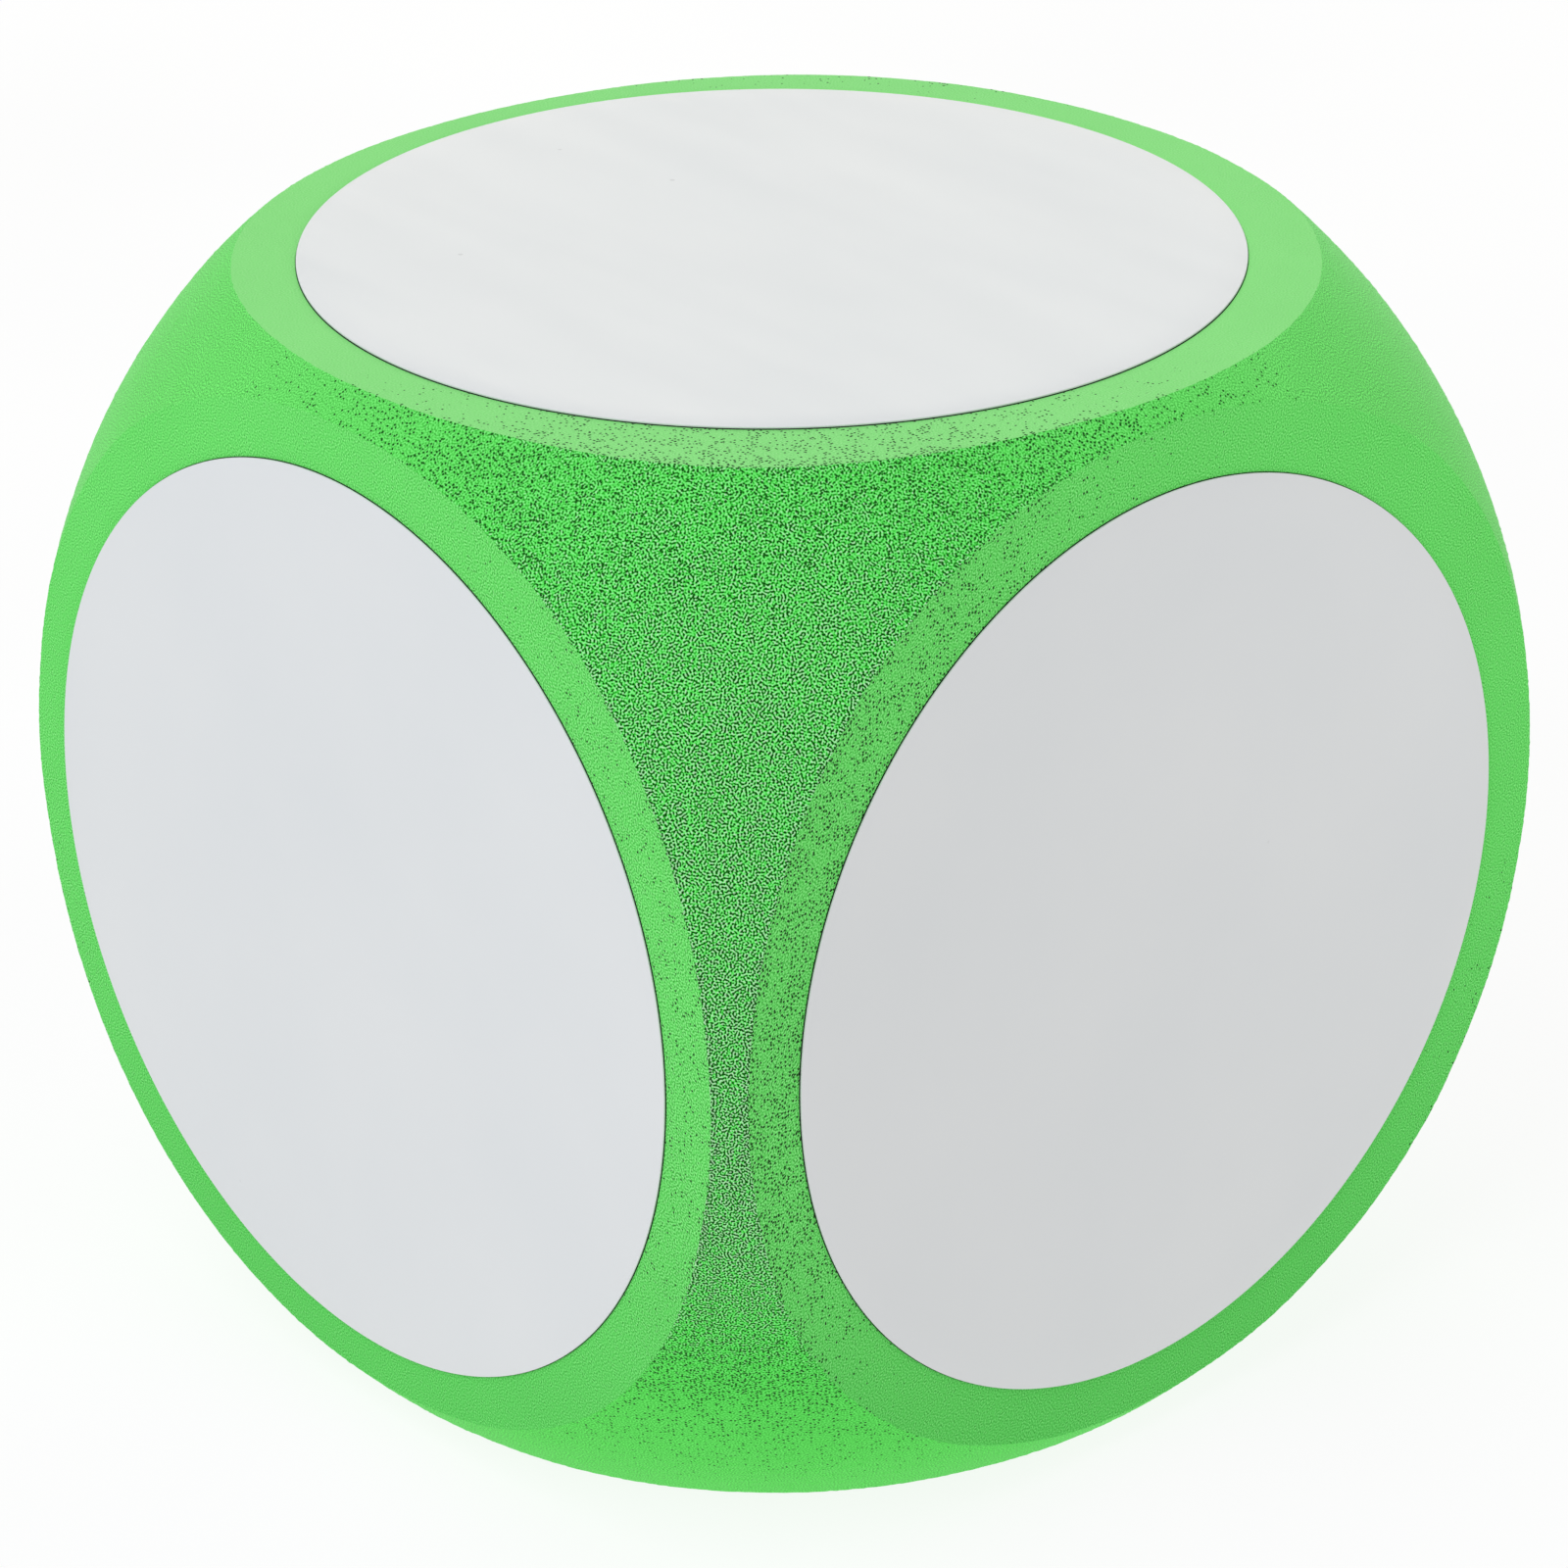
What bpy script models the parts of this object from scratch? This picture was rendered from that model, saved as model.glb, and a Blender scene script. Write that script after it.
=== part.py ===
"""A giant yard die that can be written on: a foam ball cut flat on six sides, with a white disc on each flat.

Metres, +Z up. The origin is the middle of the face that the die rests on. The front faces -Y.
"""

import math

import bmesh
import bpy
from mathutils import Vector

# Write-on discs and the tape that holds them
ACROSS_DISCS = 0.150  # from the outside of one disc to the outside of the opposite one
DISC_DIAMETER = 0.126
DISC_THICKNESS = 0.0008
DISC_PROUD = 0.0003  # how far a disc stands above the foam round it
DISC_EDGE_ROUND = 0.0001
TAPE_DIAMETER = 0.1252
TAPE_THICKNESS = 0.0002

# Foam body
EDGE_RADIUS = 0.1022  # of the ball, measured towards the middle of the cube's edges
CORNER_RADIUS = 0.1033  # of the ball, measured towards the cube's corners, where it stays a little fuller
BALL_OFFSET = Vector((0.0013, -0.0003, 0.0008))  # the ball's centre from the middle of the flats
FIT_GAP = 0.0003  # clearance left between pieces that touch

# Fineness of the round shapes
BALL_SUBDIVISIONS = 5
RIM_SEGMENTS = 72
SHARP_ANGLE = math.radians(30)

ACROSS_FLATS = ACROSS_DISCS - 2 * DISC_PROUD
SEAT_DIAMETER = DISC_DIAMETER + 2 * FIT_GAP
SEAT_DEPTH = DISC_THICKNESS - DISC_PROUD + TAPE_THICKNESS + 2 * FIT_GAP
SEAT_CUTTER_RISE = 0.002  # how far a seat's cutter stands out of the flat it cuts

# Outward direction of each face
FACES = {
    "top": Vector((0, 0, 1)),
    "bottom": Vector((0, 0, -1)),
    "front": Vector((0, -1, 0)),
    "back": Vector((0, 1, 0)),
    "right": Vector((1, 0, 0)),
    "left": Vector((-1, 0, 0)),
}


def clear_scene():
    for obj in list(bpy.data.objects):
        bpy.data.objects.remove(obj, do_unlink=True)


def new_collection(name):
    collection = bpy.data.collections.new(name)
    bpy.context.scene.collection.children.link(collection)
    return collection


def plain_material(name, colour, roughness):
    material = bpy.data.materials.new(name)
    material.use_nodes = True
    shader = material.node_tree.nodes["Principled BSDF"]
    shader.inputs["Base Color"].default_value = (*colour, 1)
    shader.inputs["Roughness"].default_value = roughness
    shader.inputs["Metallic"].default_value = 0
    return material


def add_object(name, bm, collection, parent, material=None):
    """Turns the bmesh into a smooth-shaded object under parent, in the given collection."""
    mesh = bpy.data.meshes.new(name)
    bm.to_mesh(mesh)
    bm.free()
    mesh.shade_smooth()
    mesh.set_sharp_from_angle(angle=SHARP_ANGLE)
    if material:
        mesh.materials.append(material)
    obj = bpy.data.objects.new(name, mesh)
    obj.parent = parent
    collection.objects.link(obj)
    return obj


def make_cutter(obj):
    obj.hide_render = True
    obj.display_type = "WIRE"
    return obj


def cylinder(diameter, low, high):
    """A closed cylinder along Z, from low to high."""
    bm = bmesh.new()
    bmesh.ops.create_cone(
        bm,
        cap_ends=True,
        segments=RIM_SEGMENTS,
        radius1=diameter / 2,
        radius2=diameter / 2,
        depth=high - low,
    )
    bmesh.ops.translate(bm, verts=bm.verts, vec=Vector((0, 0, (low + high) / 2)))
    return bm


def put_on_face(obj, outward, distance):
    """Turns the object's +Z to the face's outward direction, and moves it that far out from the die's centre."""
    obj.rotation_mode = "QUATERNION"
    obj.rotation_quaternion = Vector((0, 0, 1)).rotation_difference(outward)
    obj.location = outward * distance


def cut(obj, name, cutter, operation):
    boolean = obj.modifiers.new(name, "BOOLEAN")
    boolean.operation = operation
    boolean.solver = "EXACT"
    boolean.object = cutter


def ball_radius(direction):
    """The ball's radius along a unit vector: EDGE_RADIUS over the cube's edges, CORNER_RADIUS over its corners."""
    fourth_powers = sum(part**4 for part in direction)
    over_edge = 1 / 2
    over_corner = 1 / 3
    towards_corner = (over_edge - fourth_powers) / (over_edge - over_corner)
    return EDGE_RADIUS + (CORNER_RADIUS - EDGE_RADIUS) * towards_corner


def foam_ball():
    bm = bmesh.new()
    bmesh.ops.create_icosphere(bm, subdivisions=BALL_SUBDIVISIONS, radius=1)
    for vert in bm.verts:
        direction = vert.co.normalized()
        vert.co = BALL_OFFSET + direction * ball_radius(direction)
    return bm


def add_foam_body(parts, cutters, centre):
    """One block of closed-cell foam: the ball, cut flat on six sides, with a shallow round seat in each flat."""
    green = plain_material("green_foam", (0.10, 0.62, 0.12), 0.9)
    foam = add_object("foam_body", foam_ball(), parts, centre, green)

    cube = bmesh.new()
    bmesh.ops.create_cube(cube, size=ACROSS_FLATS)
    flats = make_cutter(add_object("flats_cutter", cube, cutters, centre))
    cut(foam, "flats", flats, "INTERSECT")

    for face, outward in FACES.items():
        seat = cylinder(SEAT_DIAMETER, -SEAT_DEPTH, SEAT_CUTTER_RISE)
        cutter = make_cutter(add_object(f"seat_cutter_{face}", seat, cutters, centre))
        put_on_face(cutter, outward, ACROSS_FLATS / 2)
        cut(foam, f"seat_{face}", cutter, "DIFFERENCE")


def add_discs(parts, centre):
    """The six white sheets that are written on, each a die-cut disc with a lightly rounded edge."""
    white = plain_material("write_on_white", (0.80, 0.82, 0.83), 0.45)
    for face, outward in FACES.items():
        sheet = cylinder(DISC_DIAMETER, -DISC_THICKNESS, 0)
        disc = add_object(f"write_on_disc_{face}", sheet, parts, centre, white)
        put_on_face(disc, outward, ACROSS_DISCS / 2)
        rounding = disc.modifiers.new("edge_rounding", "BEVEL")
        rounding.width = DISC_EDGE_ROUND
        rounding.segments = 1
        rounding.limit_method = "ANGLE"


def add_tapes(parts, centre):
    """The six rounds of double-sided tape, each between a seat's floor and the back of its disc."""
    grey = plain_material("adhesive_grey", (0.10, 0.11, 0.11), 0.7)
    tape_top = ACROSS_DISCS / 2 - DISC_THICKNESS - FIT_GAP
    for face, outward in FACES.items():
        round_tape = cylinder(TAPE_DIAMETER, -TAPE_THICKNESS, 0)
        tape = add_object(f"adhesive_round_{face}", round_tape, parts, centre, grey)
        put_on_face(tape, outward, tape_top)


def main():
    clear_scene()
    parts = new_collection("giant_yard_die")
    cutters = new_collection("cutters")
    centre = bpy.data.objects.new("die_centre", None)
    centre.location = (0, 0, ACROSS_DISCS / 2)
    parts.objects.link(centre)
    add_foam_body(parts, cutters, centre)
    add_discs(parts, centre)
    add_tapes(parts, centre)


main()
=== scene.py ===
"""Looks of the giant write-on yard die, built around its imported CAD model. Metres, +Z up."""

import math

import bmesh
import bpy
import numpy as np
from mathutils import Matrix, Vector, noise


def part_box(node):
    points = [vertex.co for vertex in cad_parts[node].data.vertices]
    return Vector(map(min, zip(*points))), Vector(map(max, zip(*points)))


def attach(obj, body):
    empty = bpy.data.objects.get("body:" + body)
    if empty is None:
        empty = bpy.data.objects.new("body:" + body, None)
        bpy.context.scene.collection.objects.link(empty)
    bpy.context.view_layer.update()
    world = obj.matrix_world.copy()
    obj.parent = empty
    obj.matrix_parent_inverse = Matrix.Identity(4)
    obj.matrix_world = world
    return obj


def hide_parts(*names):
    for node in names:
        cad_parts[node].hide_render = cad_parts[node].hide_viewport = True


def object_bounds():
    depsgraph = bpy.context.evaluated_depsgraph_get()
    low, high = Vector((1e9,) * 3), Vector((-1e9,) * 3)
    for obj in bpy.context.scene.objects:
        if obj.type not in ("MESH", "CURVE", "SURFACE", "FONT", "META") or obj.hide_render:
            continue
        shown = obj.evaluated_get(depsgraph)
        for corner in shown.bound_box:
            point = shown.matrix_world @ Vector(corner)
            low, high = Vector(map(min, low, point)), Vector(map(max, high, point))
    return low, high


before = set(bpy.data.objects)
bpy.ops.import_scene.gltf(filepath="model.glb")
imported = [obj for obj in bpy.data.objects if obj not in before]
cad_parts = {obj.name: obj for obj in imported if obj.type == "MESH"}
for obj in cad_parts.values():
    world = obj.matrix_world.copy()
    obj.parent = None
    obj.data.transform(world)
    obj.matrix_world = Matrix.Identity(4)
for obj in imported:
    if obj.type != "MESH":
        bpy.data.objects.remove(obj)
cad_low, cad_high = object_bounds()

MM = 0.001

# Places read from the frame
CENTRE = (Vector(cad_low) + Vector(cad_high)) / 2
HALF = (cad_high[0] - cad_low[0]) / 2  # centre to the outside of a disc
foam_low, foam_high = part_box("foam_body")
FLAT = (foam_high.x - foam_low.x) / 2  # centre to one of the foam's flats
disc_low, disc_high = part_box("write_on_disc_top")
DISC_RADIUS = (disc_high.x - disc_low.x) / 2
DISC_THICKNESS = disc_high.z - disc_low.z

FACES = {
    "top": Vector((0, 0, 1)),
    "bottom": Vector((0, 0, -1)),
    "front": Vector((0, -1, 0)),
    "back": Vector((0, 1, 0)),
    "right": Vector((1, 0, 0)),
    "left": Vector((-1, 0, 0)),
}

# The turned ball that the flats cut, as in the CAD model
EDGE_RADIUS = 102.2 * MM
CORNER_RADIUS = 103.3 * MM
BALL_OFFSET = Vector((1.3, -0.3, 0.8)) * MM

# Hand trimming: direction, height and spread (radians) of each place where the ball is fuller or leaner
TRIM_SWELLS = (
    (Vector((0.70, -0.70, 1.00)), 1.5 * MM, 0.17),
    (Vector((-0.75, -0.80, 1.00)), 0.4 * MM, 0.22),
    (Vector((1.00, 0.80, 0.85)), 0.4 * MM, 0.25),
    (Vector((1.00, 0.90, 0.10)), 0.5 * MM, 0.25),
    (Vector((-1.00, -0.95, -0.05)), 0.3 * MM, 0.20),
    (Vector((-0.90, 0.25, 1.00)), -0.8 * MM, 0.28),
)
WAVE_LENGTH = 16 * MM
WAVE_HEIGHT = 0.12 * MM

# Where the cells are cut open: direction, spread (radians) and how widely, on a calmer surface
OPEN_CELLS = (
    (Vector((1.00, -0.90, 0.40)), 0.54, 0.76),
    (Vector((1.00, -1.00, 0.00)), 0.31, 1.00),
    (Vector((-0.90, 1.00, 0.30)), 0.45, 0.62),
    (Vector((-1.00, -0.70, -0.30)), 0.31, 0.60),
    (Vector((0.55, 1.00, -0.50)), 0.31, 0.65),
)
CALM_CELLS = 0.35

# How pitted the skin of each flat is
SKIN_PITS = {"top": 2.1, "bottom": 0.7, "front": 0.45, "back": 0.9, "right": 1.2, "left": 0.8}

# Foam surface
BALL_CUTS = 246  # per cube edge, which puts a vertex about every 0.65 mm
FLAT_SPARE = 0.5 * MM  # that the ball's grid reaches past each flat before it is cut
GRID_SPARE = 0.03  # the same, as a share of the radius, on top of it
GRAIN_HEIGHT = 0.03 * MM
GRAIN_NUDGE = 0.3  # of the spacing, the most that a vertex is moved along the surface
GRAIN_SEED = 7
RING_SEGMENTS = 360
RING_INSET = 0.7 * MM  # from the rim's innermost point to the first even circle of the ring
SEAT_GAP = 0.04 * MM
LIP_ROUND = 0.14 * MM
SEAT_DEPTH = 1.3 * MM
SKIN = 1  # the foam's second material
FOAM_SHARP = math.radians(28)  # edges sharper than this are shaded as edges
PIT_ROUGHNESS = 0.95

# Places along the foam's surface: each corner and each flat has its own stretch, numbered and set apart
STRETCH_APART = 0.4  # m
FIRST_FLAT = 10

# Foam materials, in millimetres
CELL_SCALE = 0.60
CELL_FREQUENCY = 1.4  # cells for each scale, which puts them about 0.43 mm apart
PIN_RADIUS = 0.15
PIN_PITCH = 3.9 * PIN_RADIUS  # between neighbouring places that may hold a pinhole
PIN_EDGE = 0.04  # either way of a pinhole's outline, over which it fades
PATCH_SIZE = 3  # the rough size of the patches with more and with fewer pits
DYE_DRIFT = 22  # the rough size of the patches where the dye is a little deeper
RIM_BAND = 1.4  # along a rim, where the ball's cells tear deeper
SKIN_BAND = 1.3  # along a rim, where the skin is more pitted

# Write-on sheet
SHEET_SEGMENTS = 288
SHEET_RINGS = 14
FACE_LAYER = 0.19 * MM  # the white layer, over a darker backing whose near-black edge is partly painted shade for the gap at the disc's rim
EDGE_ROUND = 0.06 * MM
BACKING_INSET = 0.03 * MM
BACKING_STEP = 0.02 * MM
SHEET_WAVE = 0.03 * MM
SHEET_WAVE_LENGTH = 24 * MM
SHEET_SHARP = math.radians(40)

ROUND_PARTS = (1 / 3, 2 / 3, 1)  # of a quarter turn, where a rounded edge has its circles

# Camera
AZIMUTH = math.radians(48.24)
ELEVATION = math.radians(25.96)
ROLL = math.radians(-0.41)
DISTANCE = 10.706 * HALF
SIDE_STEP = 0.0151 * HALF
DROP = 0.0533 * HALF
LENS = 133.3  # mm
SENSOR = 36  # mm

FLOOR_REACH = 12  # m, from the middle of the floor to each side


# ---------------------------------------------------------------- node helpers


def add_node(tree, kind, inputs=None, **settings):
    """Adds a node, sets its properties, and sets or links its inputs."""
    made = tree.nodes.new(kind)
    for name, value in settings.items():
        setattr(made, name, value)
    for name, value in (inputs or {}).items():
        socket = made.inputs[name]
        if isinstance(value, bpy.types.NodeSocket):
            tree.links.new(value, socket)
        else:
            socket.default_value = value
    return made


def math_node(tree, operation, first, second):
    return add_node(tree, "ShaderNodeMath", {0: first, 1: second}, operation=operation).outputs[0]


def times(tree, first, second):
    return math_node(tree, "MULTIPLY", first, second)


def mapped(tree, value, low, high, to_low=0.0, to_high=1.0):
    """value taken from low..high to to_low..to_high along a smooth step."""
    inputs = {"Value": value, "From Min": low, "From Max": high, "To Min": to_low, "To Max": to_high}
    return add_node(tree, "ShaderNodeMapRange", inputs, interpolation_type="SMOOTHSTEP").outputs["Result"]


def mixed(tree, share, first, second, blend="MIX"):
    """first, with share of second mixed or blended into it."""
    mix = add_node(tree, "ShaderNodeMix", data_type="RGBA", blend_type=blend)
    for index, value in ((0, share), (6, first), (7, second)):
        if isinstance(value, bpy.types.NodeSocket):
            tree.links.new(value, mix.inputs[index])
        else:
            mix.inputs[index].default_value = value
    return mix.outputs[2]


def ramp(tree, value, *stops):
    """A colour ramp through (position, colour) stops."""
    made = add_node(tree, "ShaderNodeValToRGB", {"Fac": value})
    elements = made.color_ramp.elements
    while len(elements) < len(stops):
        elements.new(0.5)
    for element, (position, colour) in zip(elements, stops):
        element.position = position
        element.color = (*colour, 1)
    return made.outputs["Color"]


def new_material(name):
    """A material with a Principled BSDF, and object coordinates in millimetres."""
    material = bpy.data.materials.new(name)
    material.use_nodes = True
    tree = material.node_tree
    shader = tree.nodes["Principled BSDF"]
    coordinates = add_node(tree, "ShaderNodeTexCoord").outputs["Object"]
    scaled = add_node(tree, "ShaderNodeVectorMath", {0: coordinates, "Scale": 1 / MM}, operation="SCALE")
    return material, tree, shader, scaled.outputs[0]


def noise_at(tree, place, size_mm, detail=2.0, roughness=0.5, dimensions="3D"):
    inputs = {"Vector": place, "Scale": 1 / size_mm, "Detail": detail, "Roughness": roughness}
    return add_node(tree, "ShaderNodeTexNoise", inputs, noise_dimensions=dimensions).outputs["Fac"]


def attribute(tree, name):
    return add_node(tree, "ShaderNodeAttribute", attribute_name=name).outputs["Fac"]


def surface_place(tree):
    """Coordinates along the foam's own surface, in millimetres."""
    return add_node(tree, "ShaderNodeAttribute", attribute_name="surface_place").outputs["Vector"]


def add_bump(tree, shader, height, strength, distance_mm):
    inputs = {"Height": height, "Strength": strength, "Distance": distance_mm * MM}
    bump = add_node(tree, "ShaderNodeBump", inputs)
    tree.links.new(bump.outputs["Normal"], shader.inputs["Normal"])


# ---------------------------------------------------------------- foam materials


def foam_shader(tree, shader, colour, height, roughness, specular, sheen):
    """Matt foam: its colour, its relief, and the pale bloom that it has at a low angle."""
    tree.links.new(colour, shader.inputs["Base Color"])
    add_bump(tree, shader, height, 0.8, 0.15)
    tree.links.new(mapped(tree, height, 0.3, 0.7, PIT_ROUGHNESS, roughness), shader.inputs["Roughness"])
    shader.inputs["Specular IOR Level"].default_value = specular
    shader.inputs["Sheen Weight"].default_value = sheen
    shader.inputs["Sheen Roughness"].default_value = 0.45
    shader.inputs["Sheen Tint"].default_value = (0.95, 1.0, 0.92, 1)


def cut_cells(tree, across):
    """The maze that a blade leaves in fine foam: 0 in a pit, 1 on a cell wall."""
    inputs = {"Vector": across, "Scale": 1 / CELL_SCALE, "Frequency": CELL_FREQUENCY, "Anisotropy": 0.0}
    return add_node(tree, "ShaderNodeTexGabor", inputs, gabor_type="2D").outputs["Value"]


def swung(tree, value, depth):
    """value with its distance from one half multiplied by depth."""
    swing = times(tree, math_node(tree, "SUBTRACT", value, 0.5), depth)
    return math_node(tree, "ADD", swing, 0.5)


def pinholes(tree, across, crowding):
    """1 inside a pinhole, 0 outside. crowding is roughly the share of the places that hold one."""
    inputs = {"Vector": across, "Scale": 1 / PIN_PITCH}
    spots = add_node(tree, "ShaderNodeTexVoronoi", inputs, voronoi_dimensions="2D")
    kind = add_node(tree, "ShaderNodeSeparateColor", {"Color": spots.outputs["Color"]}).outputs["Red"]
    reach = mapped(tree, math_node(tree, "ADD", kind, crowding), 0.95, 1.25, -PIN_EDGE, PIN_RADIUS)
    distance = times(tree, spots.outputs["Distance"], PIN_PITCH)
    return mapped(tree, math_node(tree, "SUBTRACT", reach, distance), -PIN_EDGE, PIN_EDGE)


def drift_and_shade_below(tree, place, colour, bottom_shade):
    """colour with painted shade towards the bottom: multiplied by the given shade colour there and less
    above it, and drifting a little all over.
    """
    height = add_node(tree, "ShaderNodeSeparateXYZ", {"Vector": place}).outputs["Z"]
    above_centre = math_node(tree, "SUBTRACT", height, CENTRE.z / MM)
    low = mapped(tree, above_centre, -HALF / MM, 0, 1.0, 0.0)
    patches = noise_at(tree, place, DYE_DRIFT, 2)
    drift = ramp(tree, patches, (0.3, (0.95, 0.97, 0.95)), (0.7, (1.0, 1.0, 1.0)))
    drifting = mixed(tree, 1.0, colour, drift, "MULTIPLY")
    return mixed(tree, low, drifting, mixed(tree, 1.0, drifting, bottom_shade, "MULTIPLY"))


def painted_top_sheen(tree):
    """How much painted sheen the skin gets: only flats that face up get it, paler as if lit at a low angle.
    """
    normal = add_node(tree, "ShaderNodeTexCoord").outputs["Normal"]
    upward = add_node(tree, "ShaderNodeSeparateXYZ", {"Vector": normal}).outputs["Z"]
    return mapped(tree, upward, 0.90, 1.0, 0.0, 0.8)


def cut_foam_material():
    """The turned ball: cells cut open in a maze of pits with painted shade and walls with painted
    highlights, or calmer with pinholes that hold painted shade.
    """
    material, tree, shader, place = new_material("green_foam_cut_cells")
    across = surface_place(tree)
    openness = attribute(tree, "open_cells")
    from_rim = times(tree, attribute(tree, "from_rim"), 1 / MM)
    patches = noise_at(tree, across, PATCH_SIZE, 2, dimensions="2D")
    patches = mapped(tree, patches, 0.3, 0.7, 0.9, 1.15)
    depth = times(tree, mapped(tree, openness, 0.42, 1.0, 0.2, 4.4), patches)
    depth = times(tree, depth, mapped(tree, from_rim, 0.0, RIM_BAND, 1.5, 1.0))
    cells = cut_cells(tree, across)
    height = swung(tree, cells, depth)
    # painted shade in the pits (near black) and painted highlights on the pale cell walls
    maze = ramp(tree, height, (0.20, (0.0, 0.07, 0.0)), (0.38, (0.03, 0.56, 0.03)),
                (0.50, (0.11, 0.88, 0.11)), (0.61, (0.17, 1.0, 0.18)), (0.82, (0.27, 1.0, 0.28)),
                (1.0, (0.58, 1.0, 0.58)))
    calm = ramp(tree, cells, (0.36, (0.09, 0.58, 0.08)), (0.64, (0.23, 1.0, 0.21)))
    tone = mixed(tree, mapped(tree, openness, 0.38, 0.75), calm, maze)
    crowding = times(tree, mapped(tree, openness, 0.36, 0.62), patches)
    crowding = times(tree, crowding, mapped(tree, openness, 0.58, 0.86, 0.80, 0.0))
    pit = pinholes(tree, across, crowding)
    # painted shade: the foam gets darker and deeper green towards the bottom of the die
    tone = drift_and_shade_below(tree, place, tone, (0.57, 0.94, 0.57, 1))
    # painted shade: each pinhole is filled with a near-black green
    colour = mixed(tree, pit, tone, (0.0, 0.11, 0.0, 1))
    relief = math_node(tree, "SUBTRACT", height, pit)
    foam_shader(tree, shader, colour, relief, roughness=0.7, specular=0.10, sheen=0.16)
    return material


def skin_foam_material():
    """The six flats: a smoother, paler skin with scattered pinholes filled with painted shade, and more of
    them along the rim, and painted sheen on flats that face up.
    """
    material, tree, shader, place = new_material("green_foam_skin")
    across = surface_place(tree)
    openness = attribute(tree, "open_cells")
    from_rim = times(tree, attribute(tree, "from_rim"), -1 / MM)
    patches = noise_at(tree, across, PATCH_SIZE, 3, dimensions="2D")
    patches = mapped(tree, patches, 0.35, 0.65, 0.5, 1.4)
    crowding = times(tree, mapped(tree, openness, 0.37, 0.95, 0.0, 0.62), patches)
    crowding = times(tree, crowding, attribute(tree, "skin_pits"))
    crowding = times(tree, crowding, mapped(tree, from_rim, 0.0, SKIN_BAND, 1.9, 1.0))
    pit = pinholes(tree, across, crowding)
    height = swung(tree, cut_cells(tree, across), mapped(tree, openness, 0.4, 0.9, 0.7, 1.4))
    tone = ramp(tree, height, (0.25, (0.05, 0.44, 0.045)), (0.50, (0.138, 0.78, 0.132)),
                (0.72, (0.28, 1.0, 0.26)))
    # painted sheen: flats that face up are mixed towards a pale green
    tone = mixed(tree, painted_top_sheen(tree), tone, (0.29, 0.86, 0.25, 1))
    # painted shade: the skin gets darker towards the bottom of the die
    tone = drift_and_shade_below(tree, place, tone, (0.75, 0.86, 0.78, 1))
    # painted shade: each pinhole is filled with a near-black green
    colour = mixed(tree, pit, tone, (0.0, 0.05, 0.0, 1))
    relief = math_node(tree, "SUBTRACT", height, pit)
    foam_shader(tree, shader, colour, relief, roughness=0.55, specular=0.12, sheen=0.15)
    return material


# ---------------------------------------------------------------- other materials


def sheet_material():
    """Wipe-clean white sheet: satin, with a faint orange peel, old wipe marks and a few specks of dust."""
    material, tree, shader, place = new_material("write_on_white_sheet")
    clouds = noise_at(tree, place, 38, 3)
    tone = ramp(tree, clouds, (0.3, (0.765, 0.785, 0.80)), (0.7, (0.79, 0.805, 0.815)))
    dust = add_node(tree, "ShaderNodeTexVoronoi", {"Vector": place, "Scale": 1 / 16})
    speck = mapped(tree, dust.outputs["Distance"], 0.014, 0.03, 0.3, 0.0)
    tree.links.new(mixed(tree, speck, tone, (0.35, 0.36, 0.37, 1)), shader.inputs["Base Color"])
    stretched = add_node(tree, "ShaderNodeMapping", {"Vector": place, "Scale": (0.06, 0.5, 0.25)})
    wiped = noise_at(tree, stretched.outputs[0], 3, 4, 0.6)
    tree.links.new(mapped(tree, wiped, 0.25, 0.75, 0.49, 0.55), shader.inputs["Roughness"])
    add_bump(tree, shader, noise_at(tree, place, 0.8, 2), 0.25, 0.02)
    return material


def backing_and_edge_shade_material():
    """Dark backing of the sheet, seen only as a thin line at its cut edge; its near-black colour is partly
    the backing's own and partly painted shade for the gap at the rim.
    """
    material, tree, shader, place = new_material("sheet_backing_and_edge_shade")
    fibres = noise_at(tree, place, 0.3, 3)
    # near black: partly the backing's own colour, partly painted shade along the disc's edge
    tone = ramp(tree, fibres, (0.3, (0.006, 0.012, 0.009)), (0.7, (0.02, 0.03, 0.025)))
    tree.links.new(tone, shader.inputs["Base Color"])
    tree.links.new(mapped(tree, fibres, 0.3, 0.7, 0.7, 0.9), shader.inputs["Roughness"])
    add_bump(tree, shader, fibres, 0.4, 0.03)
    return material


def tape_material():
    """Double-sided tape: grey tissue with glue rubbed unevenly over it."""
    material, tree, shader, place = new_material("tape_tissue")
    glue = noise_at(tree, place, 4, 4, 0.6)
    tone = ramp(tree, glue, (0.35, (0.06, 0.065, 0.06)), (0.65, (0.13, 0.14, 0.13)))
    tree.links.new(tone, shader.inputs["Base Color"])
    tree.links.new(mapped(tree, glue, 0.3, 0.7, 0.35, 0.75), shader.inputs["Roughness"])
    add_bump(tree, shader, glue, 0.5, 0.05)
    return material


def floor_material():
    """White table, lit from within so that it stays white around the die and keeps a soft shadow."""
    material, tree, shader, place = new_material("lit_white_table")
    clouds = noise_at(tree, place, 180, 2)
    tone = ramp(tree, clouds, (0.3, (0.11, 0.11, 0.11)), (0.7, (0.13, 0.13, 0.13)))
    tree.links.new(tone, shader.inputs["Base Color"])
    shader.inputs["Roughness"].default_value = 0.9
    shader.inputs["Specular IOR Level"].default_value = 0.1
    shader.inputs["Emission Color"].default_value = (1, 1, 1, 1)
    shader.inputs["Emission Strength"].default_value = 0.875
    return material


# ---------------------------------------------------------------- shapes


def face_turn(outward):
    """A matrix that turns a face's own axes, with +Z outward, to the row frame's."""
    return Vector((0, 0, 1)).rotation_difference(outward).to_matrix().to_4x4()


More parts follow.
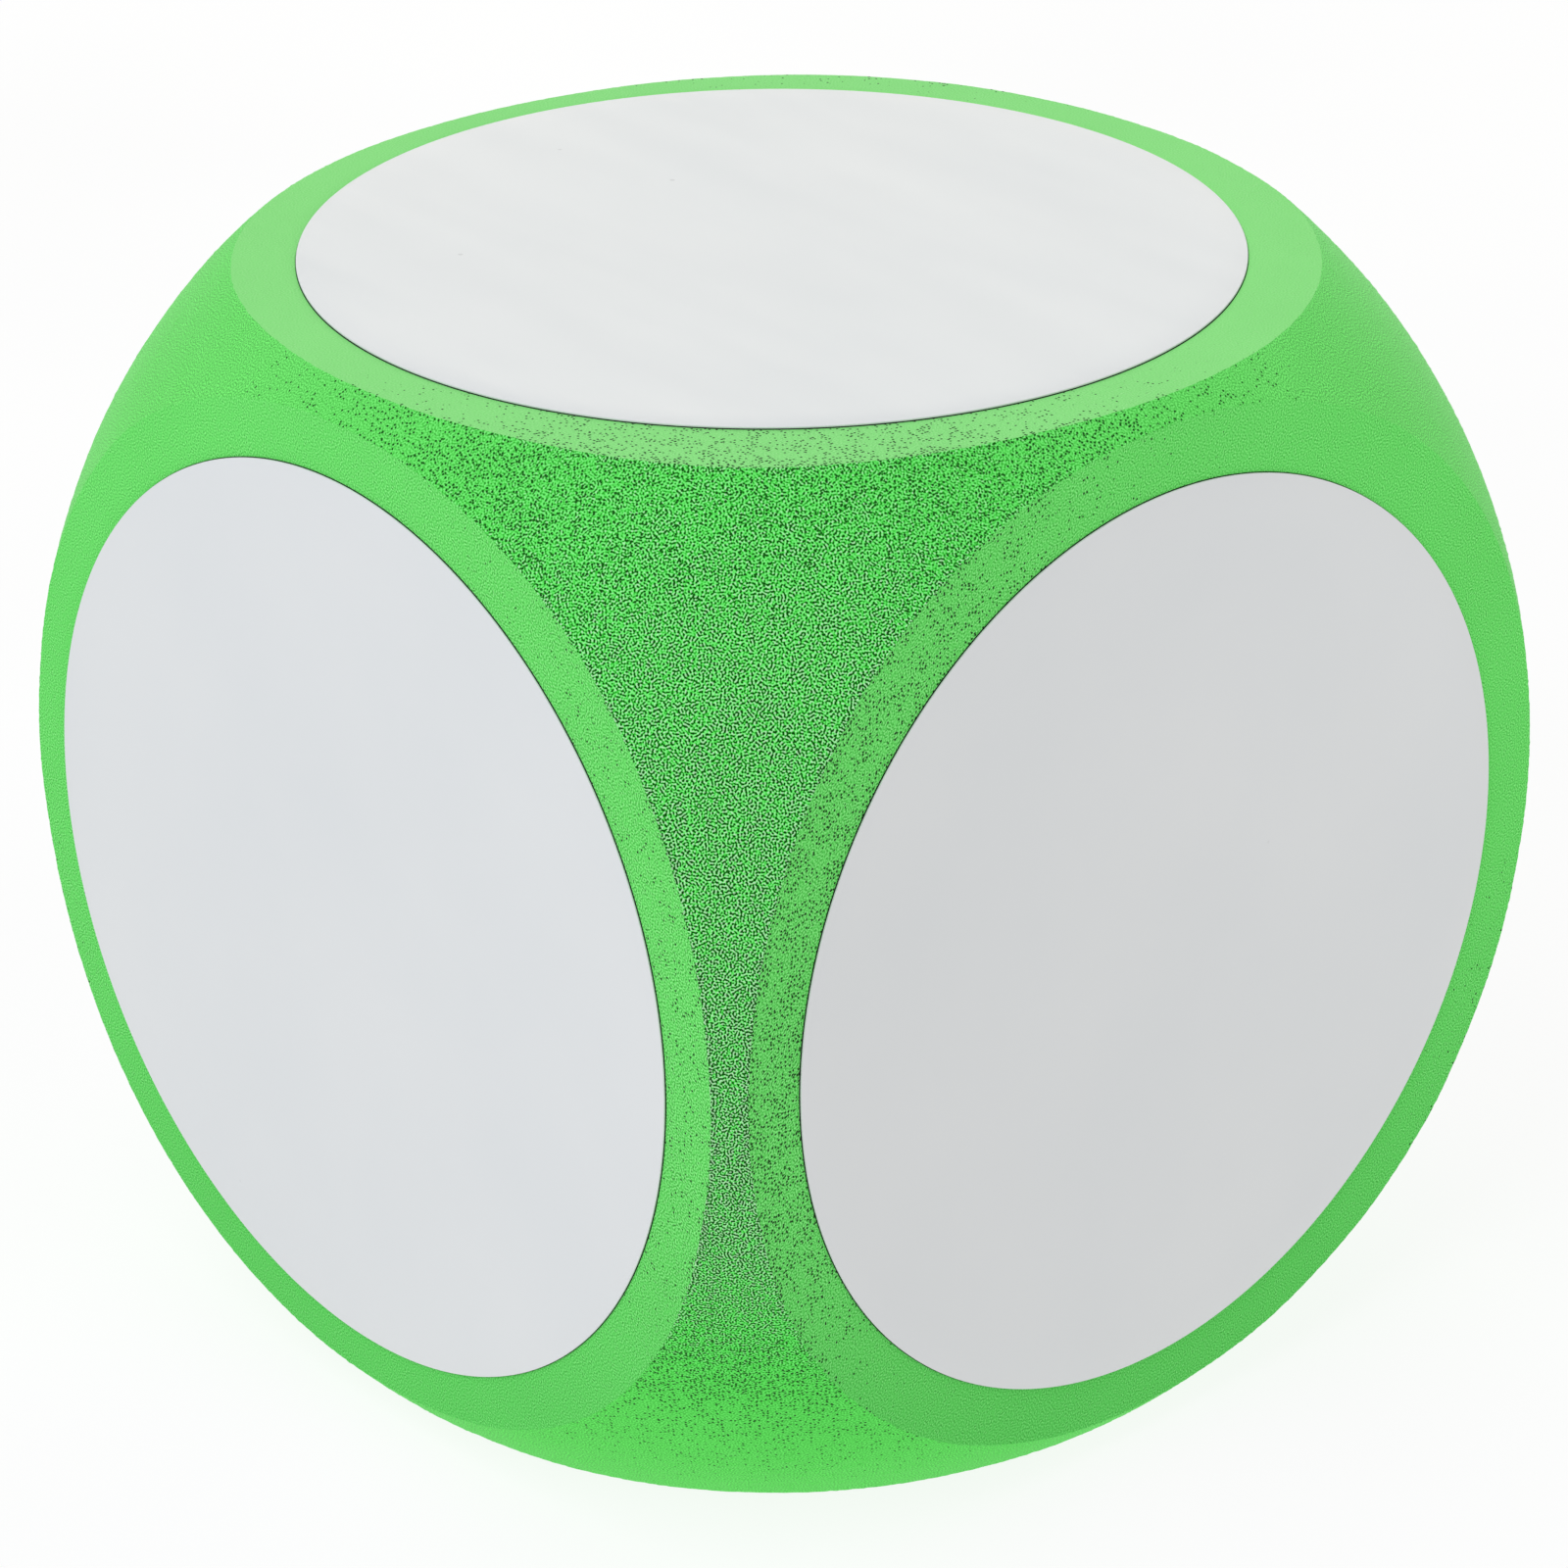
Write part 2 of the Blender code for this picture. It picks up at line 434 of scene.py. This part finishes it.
def ball_surface(directions):
    """Points of the turned and trimmed ball, from the die's centre, for an array of unit vectors."""
    over_edge, over_corner = 1 / 2, 1 / 3
    towards_corner = (over_edge - (directions**4).sum(1)) / (over_edge - over_corner)
    radius = EDGE_RADIUS + (CORNER_RADIUS - EDGE_RADIUS) * towards_corner
    for direction, height, spread in TRIM_SWELLS:
        angle = np.arccos(np.clip(directions @ np.array(direction.normalized()), -1, 1))
        radius += height * np.exp(-((angle / spread) ** 2) / 2)
    points = directions * radius[:, None] + np.array(BALL_OFFSET)
    waves = np.array([noise.noise(Vector(point) / WAVE_LENGTH) for point in points])
    return points + directions * (waves * WAVE_HEIGHT)[:, None]


def ball_mesh():
    """The ball outside the flats: an even grid, with each vertex nudged and raised by the grain."""
    bm = bmesh.new()
    bmesh.ops.create_cube(bm, size=2)
    bmesh.ops.subdivide_edges(bm, edges=bm.edges, cuts=BALL_CUTS, use_grid_fill=True)
    quarter = math.pi / 4
    for vert in bm.verts:
        vert.co = Vector([math.tan(part * quarter) for part in vert.co]).normalized()
    furthest = (FLAT + FLAT_SPARE) / EDGE_RADIUS + GRID_SPARE
    unused = [vert for vert in bm.verts if max(map(abs, vert.co)) > furthest]
    bmesh.ops.delete(bm, geom=unused, context="VERTS")
    mesh = bpy.data.meshes.new("ball")
    bm.to_mesh(mesh)

    directions = np.empty(len(mesh.vertices) * 3)
    mesh.vertices.foreach_get("co", directions)
    directions = directions.reshape(-1, 3)
    random = np.random.default_rng(GRAIN_SEED)
    spacing = math.pi / 2 / (BALL_CUTS + 1)
    directions += random.uniform(-GRAIN_NUDGE, GRAIN_NUDGE, directions.shape) * spacing
    directions /= np.linalg.norm(directions, axis=1)[:, None]
    points = ball_surface(directions)
    points += directions * (random.normal(0, GRAIN_HEIGHT, len(points)))[:, None]
    mesh.vertices.foreach_set("co", points.astype(np.float32).ravel())
    bm.clear()
    bm.from_mesh(mesh)
    bpy.data.meshes.remove(mesh)
    return bm


def circle(bm, place, radius, height, segments):
    """Vertices of a circle about a face's own +Z."""
    angles = (2 * math.pi * i / segments for i in range(segments))
    points = (Vector((radius * math.cos(a), radius * math.sin(a), height)) for a in angles)
    return [bm.verts.new(place @ point) for point in points]


def join_circles(bm, outer, inner):
    """A strip of quads between two circles with the same number of vertices. Returns its faces."""
    count = len(outer)
    faces = []
    for i in range(count):
        j = (i + 1) % count
        faces.append(bm.faces.new((outer[i], outer[j], inner[j], inner[i])))
    return faces


def open_cells(at):
    """From 0 to 1, how widely the cells are cut open at a place, given from the die's centre."""
    widest = 0.0
    for direction, spread, width in OPEN_CELLS:
        widest = max(widest, width * math.exp(-((at.angle(direction) / spread) ** 2) / 2))
    return CALM_CELLS + (1 - CALM_CELLS) * widest


def cut_flat(bm, outward, layer):
    """Cuts one flat off the ball, and closes it with a ring, a rounded lip and a seat for the disc."""
    plane = outward * FLAT
    geometry = list(bm.verts) + list(bm.edges) + list(bm.faces)
    result = bmesh.ops.bisect_plane(bm, geom=geometry, plane_co=plane, plane_no=outward, clear_outer=True)
    rim_edges = [e for e in result["geom_cut"] if isinstance(e, bmesh.types.BMEdge)]
    rim = {v for edge in rim_edges for v in edge.verts}

    place = face_turn(outward)
    back = place.inverted()
    local = {v: back @ v.co for v in rim}
    radii = {v: math.hypot(at.x, at.y) for v, at in local.items()}
    ring_radius = min(radii.values()) - RING_INSET

    seat_radius = DISC_RADIUS + SEAT_GAP
    lip_radius = seat_radius + LIP_ROUND
    middle_radius = (ring_radius + lip_radius) / 2
    profile = [(ring_radius, FLAT), (middle_radius, FLAT), (lip_radius, FLAT)]
    for part in ROUND_PARTS:
        angle = part * math.pi / 2
        profile.append((lip_radius - LIP_ROUND * math.sin(angle), FLAT - LIP_ROUND * (1 - math.cos(angle))))
    profile.append((seat_radius, FLAT - SEAT_DEPTH))
    circles = [circle(bm, place, radius, height, RING_SEGMENTS) for radius, height in profile]
    flat_faces = [bm.faces.new(circles[-1])]
    for outer, inner in zip(circles, circles[1:]):
        flat_faces += join_circles(bm, outer, inner)
    first = [bm.edges.get((a, b)) for a, b in zip(circles[0], circles[0][1:] + circles[0][:1])]
    filled = bmesh.ops.triangle_fill(bm, edges=rim_edges + first, use_beauty=True, normal=outward)
    flat_faces += [made for made in filled["geom"] if isinstance(made, bmesh.types.BMFace)]
    for made in flat_faces:
        made.material_index = SKIN

    for vert in rim:
        vert[layer] = 0.0
    by_angle = sorted((math.atan2(at.y, at.x), radii[v]) for v, at in local.items())
    angles = np.array([angle for angle, _ in by_angle])
    around = np.array([radius for _, radius in by_angle])
    for ring, (radius, _) in zip(circles, profile):
        for vert in ring:
            at = back @ vert.co
            rim_radius = np.interp(math.atan2(at.y, at.x), angles, around, period=2 * math.pi)
            vert[layer] = radius - rim_radius


def lay_out_surface(mesh):
    """Gives each face's corners a place along the surface, in mm from the middle of its flat or corner."""
    points = np.empty(len(mesh.vertices) * 3)
    mesh.vertices.foreach_get("co", points)
    points = points.reshape(-1, 3)
    centres = np.empty(len(mesh.polygons) * 3)
    mesh.polygons.foreach_get("center", centres)
    centres = centres.reshape(-1, 3)
    slots = np.empty(len(mesh.polygons), int)
    mesh.polygons.foreach_get("material_index", slots)
    sizes = np.empty(len(mesh.polygons), int)
    mesh.polygons.foreach_get("loop_total", sizes)
    verts = np.empty(len(mesh.loops), int)
    mesh.loops.foreach_get("vertex_index", verts)

    corner = np.sign(centres) + (centres == 0)
    face_of = np.repeat(np.arange(len(sizes)), sizes)
    at = points[verts]
    folded = at / np.linalg.norm(at, axis=1)[:, None] * corner[face_of]
    diagonal, first, second = np.array([(1, 1, 1), (1, -1, 0), (1, 1, -2)]) / np.sqrt([[3], [2], [6]])
    angle = np.arccos(np.clip(folded @ diagonal, -1, 1))
    stretch = EDGE_RADIUS * angle / np.maximum(np.sin(angle), 1e-9)
    number = ((corner > 0) @ (1, 2, 4))[face_of]
    level = np.zeros(len(at))
    on_ball = np.stack([folded @ first * stretch, folded @ second * stretch, level], 1)
    on_ball[:, 0] += number * STRETCH_APART

    axis = np.abs(centres).argmax(1)[face_of]
    side = corner[face_of, axis]
    rows = np.arange(len(at))
    on_flat = np.stack([at[rows, (axis + 1) % 3], at[rows, (axis + 2) % 3], level], 1)
    on_flat[:, 0] += (FIRST_FLAT + 2 * axis + side) * STRETCH_APART

    place = np.where((slots == SKIN)[face_of][:, None], on_flat, on_ball) / MM
    layer = mesh.attributes.new("surface_place", "FLOAT_VECTOR", "CORNER")
    layer.data.foreach_set("vector", place.astype(np.float32).ravel())


def make_foam(materials):
    """The foam block: the grained ball, with six flats, rings and seats cut into it."""
    bm = ball_mesh()
    layer = bm.verts.layers.float.new("from_rim")
    slope = DISC_RADIUS / HALF  # the ball falls away from a flat by this much for each unit outward, nearly
    for vert in bm.verts:
        vert[layer] = (FLAT - max(map(abs, vert.co))) * (1 + slope)
    for outward in FACES.values():
        cut_flat(bm, outward, layer)
    opened = bm.verts.layers.float.new("open_cells")
    pitted = bm.verts.layers.float.new("skin_pits")
    for vert in bm.verts:
        vert[opened] = open_cells(vert.co)
        nearest = max(FACES, key=lambda face: FACES[face].dot(vert.co))
        vert[pitted] = SKIN_PITS[nearest]
    bmesh.ops.recalc_face_normals(bm, faces=bm.faces)
    mesh = bpy.data.meshes.new("foam_block")
    bm.to_mesh(mesh)
    bm.free()
    mesh.shade_smooth()
    mesh.set_sharp_from_angle(angle=FOAM_SHARP)
    lay_out_surface(mesh)
    mesh.transform(Matrix.Translation(CENTRE))
    for material in materials:
        mesh.materials.append(material)
    foam = bpy.data.objects.new("foam_block", mesh)
    bpy.context.scene.collection.objects.link(foam)
    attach(foam, "root")
    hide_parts("foam_body")


def sheet_profile():
    """(radius, depth below the disc's outer face, 1 where the backing starts) down the sheet's section."""
    face_radius = DISC_RADIUS - EDGE_ROUND
    points = [(face_radius * i / SHEET_RINGS, 0.0, 0) for i in range(1, SHEET_RINGS + 1)]
    for part in ROUND_PARTS:
        angle = part * math.pi / 2
        points.append((face_radius + EDGE_ROUND * math.sin(angle), EDGE_ROUND * (1 - math.cos(angle)), 0))
    points.append((DISC_RADIUS, FACE_LAYER, 0))
    backing_radius = DISC_RADIUS - BACKING_INSET
    points.append((backing_radius, FACE_LAYER + BACKING_STEP, 1))
    points.append((backing_radius, DISC_THICKNESS, 1))
    return points


def make_sheet(face, outward, materials):
    """One write-on disc: a white face over a dark backing whose near-black edge is partly painted shade,
    lying very slightly uneven.
    """
    place = Matrix.Translation(CENTRE) @ face_turn(outward)
    bm = bmesh.new()
    profile = sheet_profile()
    circles = [circle(bm, Matrix(), radius, -depth, SHEET_SEGMENTS) for radius, depth, _ in profile]
    for outer, inner, (_, _, slot) in zip(circles, circles[1:], profile[1:]):
        for made in join_circles(bm, outer, inner):
            made.material_index = slot
    middle = bm.verts.new((0, 0, 0))
    for a, b in zip(circles[0], circles[0][1:] + circles[0][:1]):
        bm.faces.new((a, b, middle))
    under = bm.faces.new(circles[-1])
    under.material_index = 1
    for ring in [[middle]] + circles[:SHEET_RINGS - 1]:
        for vert in ring:
            wave = noise.noise((place @ vert.co) / SHEET_WAVE_LENGTH)
            vert.co.z -= SHEET_WAVE * (0.5 + 0.5 * wave)
    bmesh.ops.recalc_face_normals(bm, faces=bm.faces)
    bm.transform(place @ Matrix.Translation((0, 0, HALF)))
    mesh = bpy.data.meshes.new(f"write_on_sheet_{face}")
    bm.to_mesh(mesh)
    bm.free()
    mesh.shade_smooth()
    mesh.set_sharp_from_angle(angle=SHEET_SHARP)
    for material in materials:
        mesh.materials.append(material)
    sheet = bpy.data.objects.new(mesh.name, mesh)
    bpy.context.scene.collection.objects.link(sheet)
    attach(sheet, "root")
    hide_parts(f"write_on_disc_{face}")


def dress_tapes(material):
    """The tape rounds keep their CAD shape, and get the tape's own material."""
    for face in FACES:
        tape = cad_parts[f"adhesive_round_{face}"]
        tape.data.materials.clear()
        tape.data.materials.append(material)


# ---------------------------------------------------------------- stage


def make_floor():
    """The table that the die stands on."""
    mesh = bpy.data.meshes.new("studio_floor")
    bm = bmesh.new()
    bmesh.ops.create_grid(bm, x_segments=1, y_segments=1, size=FLOOR_REACH)
    bm.to_mesh(mesh)
    bm.free()
    mesh.materials.append(floor_material())
    floor = bpy.data.objects.new("studio_floor", mesh)
    bpy.context.scene.collection.objects.link(floor)
    floor.location.z = cad_low[2]


def add_light(name, direction, distance, size, power, colour):
    """A square softbox that faces the die's centre."""
    data = bpy.data.lights.new(name, "AREA")
    data.size = size
    data.energy = power
    data.color = colour
    light = bpy.data.objects.new(name, data)
    outward = Vector(direction).normalized()
    light.location = CENTRE + outward * distance
    light.rotation_mode = "QUATERNION"
    light.rotation_quaternion = outward.to_track_quat("Z", "Y")
    bpy.context.scene.collection.objects.link(light)


def light_stage():
    """A dim white room, with a softbox above the front, one behind and a small one at the back right."""
    scene = bpy.context.scene
    world = bpy.data.worlds.new("studio")
    world.use_nodes = True
    background = world.node_tree.nodes["Background"]
    background.inputs["Color"].default_value = (1.0, 0.98, 0.96, 1)
    background.inputs["Strength"].default_value = 0.36
    scene.world = world
    scene.view_settings.view_transform = "Standard"
    add_light("key_softbox", (0.05, -0.60, 0.80), 1.6, 1.2, 13.5, (0.90, 0.95, 1.00))
    add_light("back_softbox", (-0.67, 0.60, 0.42), 1.8, 1.2, 10.3, (1.00, 0.98, 0.89))
    add_light("side_softbox", (0.90, 0.75, 0.60), 0.6, 0.4, 0.55, (1.00, 1.00, 0.96))


def place_camera():
    """The camera stands in front of the die's near vertical edge, a little above it, with a long lens."""
    ahead = math.cos(ELEVATION)
    back = Vector((math.sin(AZIMUTH) * ahead, -math.cos(AZIMUTH) * ahead, math.sin(ELEVATION)))
    level = Vector((math.cos(AZIMUTH), math.sin(AZIMUTH), 0))
    upright = back.cross(level)
    right = level * math.cos(ROLL) + upright * math.sin(ROLL)
    up = upright * math.cos(ROLL) - level * math.sin(ROLL)
    data = bpy.data.cameras.new("camera")
    data.lens = LENS
    data.sensor_width = SENSOR
    data.clip_start = 0.01
    camera = bpy.data.objects.new("camera", data)
    place = Matrix((right, up, back)).transposed().to_4x4()
    place.translation = CENTRE + back * DISTANCE + right * SIDE_STEP - up * DROP
    camera.matrix_world = place
    bpy.context.scene.collection.objects.link(camera)
    bpy.context.scene.camera = camera


place_camera()
make_foam((cut_foam_material(), skin_foam_material()))
sheet_materials = (sheet_material(), backing_and_edge_shade_material())
for face, outward in FACES.items():
    make_sheet(face, outward, sheet_materials)
dress_tapes(tape_material())
make_floor()
light_stage()
